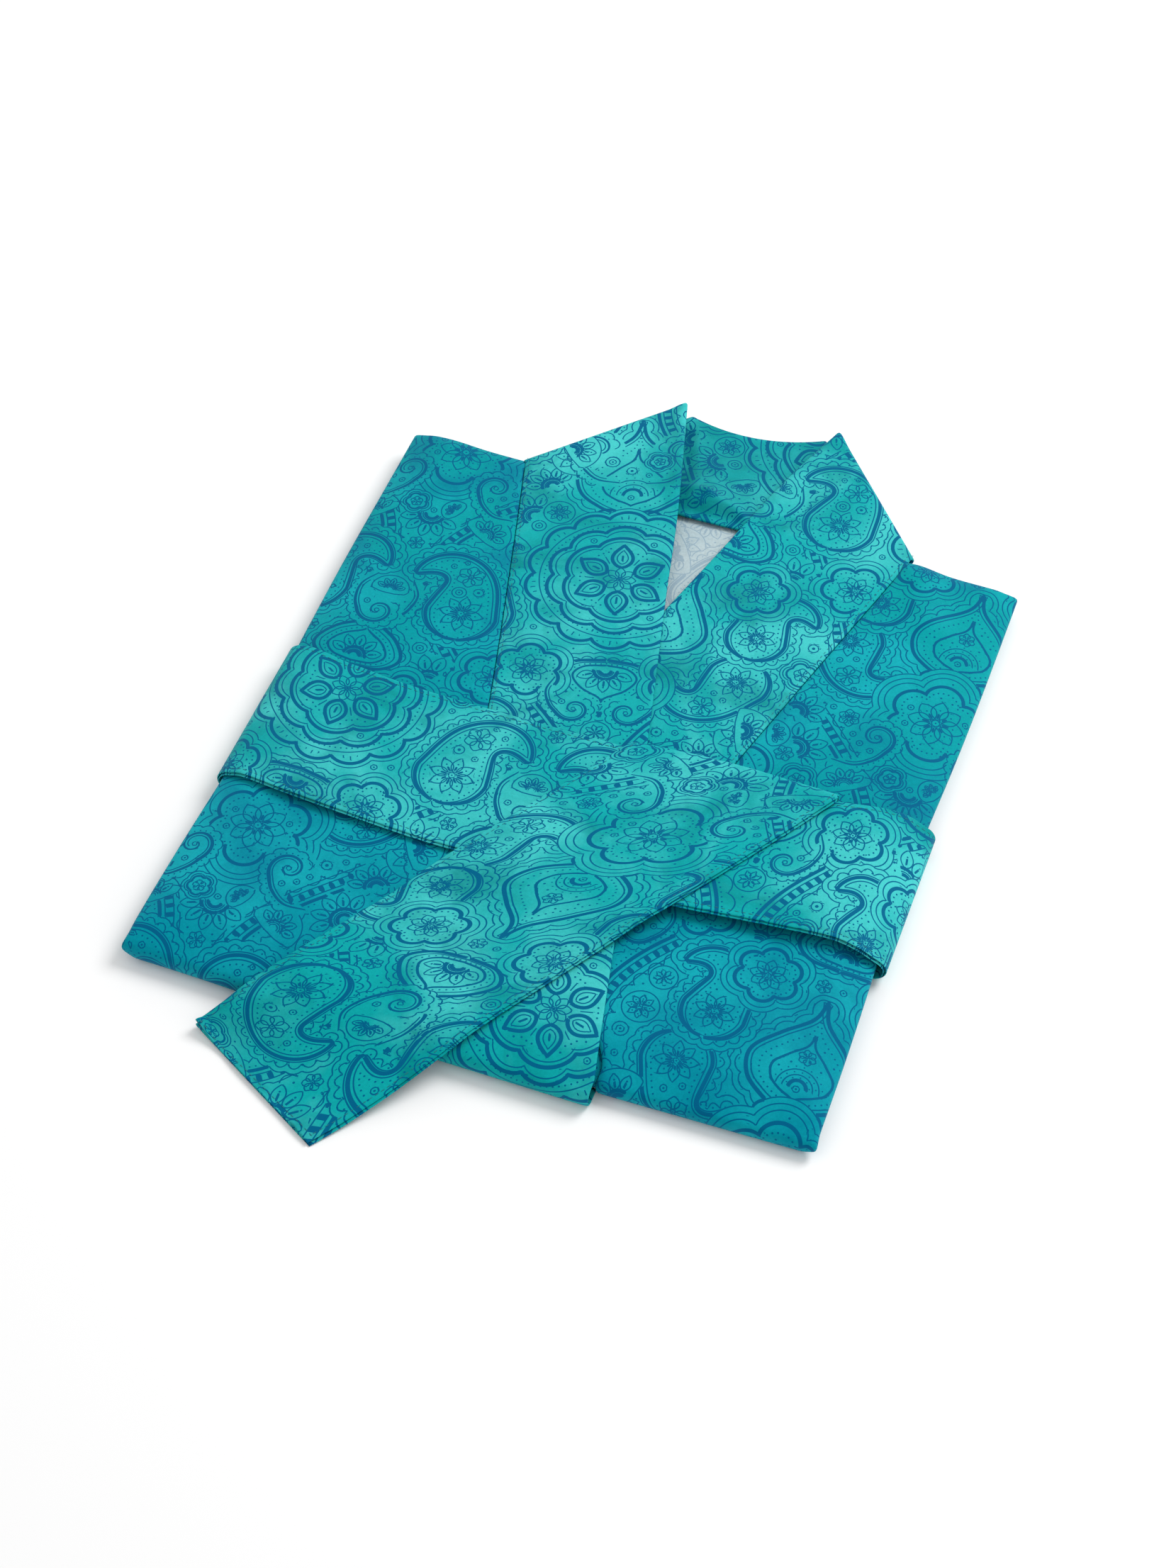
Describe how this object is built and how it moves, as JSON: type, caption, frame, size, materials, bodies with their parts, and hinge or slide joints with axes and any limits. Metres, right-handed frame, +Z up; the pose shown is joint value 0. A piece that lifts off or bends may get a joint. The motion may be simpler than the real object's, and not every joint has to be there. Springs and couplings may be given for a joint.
{
  "type": "kimono robe",
  "caption": "Kimono robe folded flat: two fronts crossed in a V, a neckband round the neck, sleeves and skirt folded behind, and its own sash wound across with one end laid over the top.",
  "frame": {"origin": "middle of the folded packet's flat underside", "axes": "+Z up from the surface it lies on, +Y towards the neck, -Y towards the folded skirt, -X the wearer's right side"},
  "size_m": [0.3032, 0.4539, 0.0211],
  "materials": {
    "robe_cloth": "smooth microfibre with a soft sheen, teal with a darker line print",
    "band_cloth": "smooth microfibre with a soft sheen, light turquoise with a darker line print",
    "wrong_side": "matt pale wrong side of the printed cloth"
  },
  "bodies": {
    "root": {"folded_layers": "robe_cloth", "front_right": "robe_cloth", "front_left": "robe_cloth", "back_inside": "wrong_side", "neckband_left": "band_cloth", "neckband_right": "band_cloth", "neckband_back": "band_cloth", "sash_right": "band_cloth", "sash_left": "band_cloth", "sash_tail": "band_cloth"}
  },
  "joints": []
}
